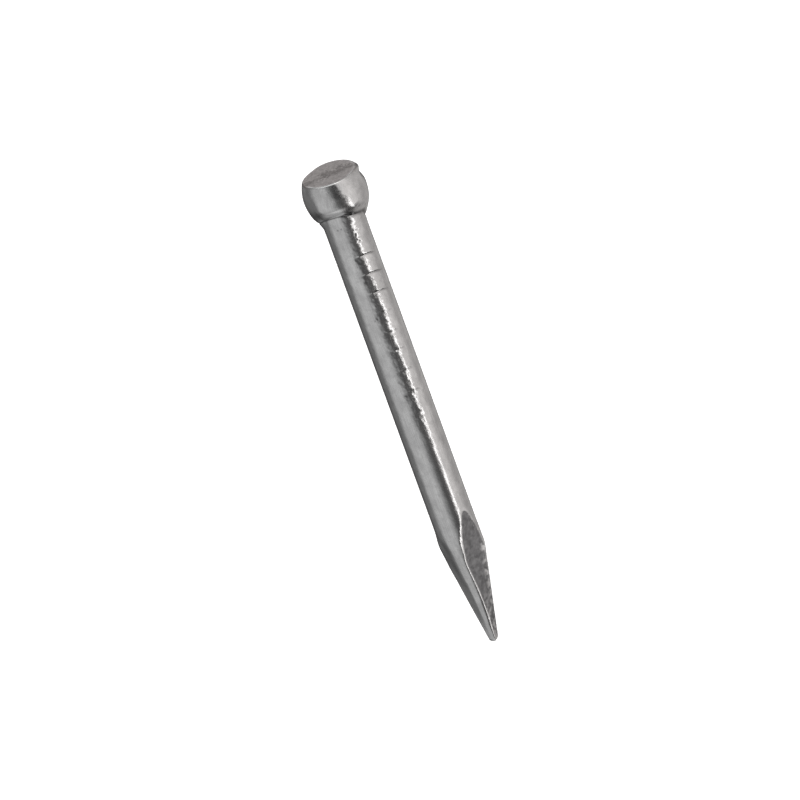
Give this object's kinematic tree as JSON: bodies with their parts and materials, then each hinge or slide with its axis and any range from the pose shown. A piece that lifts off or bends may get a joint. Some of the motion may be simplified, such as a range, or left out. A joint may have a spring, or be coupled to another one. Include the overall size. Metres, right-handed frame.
{
  "type": "nail",
  "caption": "Short round wire nail with a barrel-shaped lost head, gripped shank and four-sided pinched point, made from one piece of wire.",
  "frame": {"origin": "centre of the flat struck face on top of the head", "axes": "+Z along the nail's axis and out of the struck face, so the head is at the top and the point is straight below at z = -0.02; the four ridges of the point lie towards +X, +Y, -X and -Y, and the halves of the pinching dies met in the XZ plane"},
  "size_m": [0.0024, 0.0024, 0.02],
  "materials": {
    "steel": "bright drawn wire, lightly scuffed, with a dull struck face and dull sheared flats at the point"
  },
  "bodies": {
    "root": {"nail": "steel"}
  },
  "joints": []
}
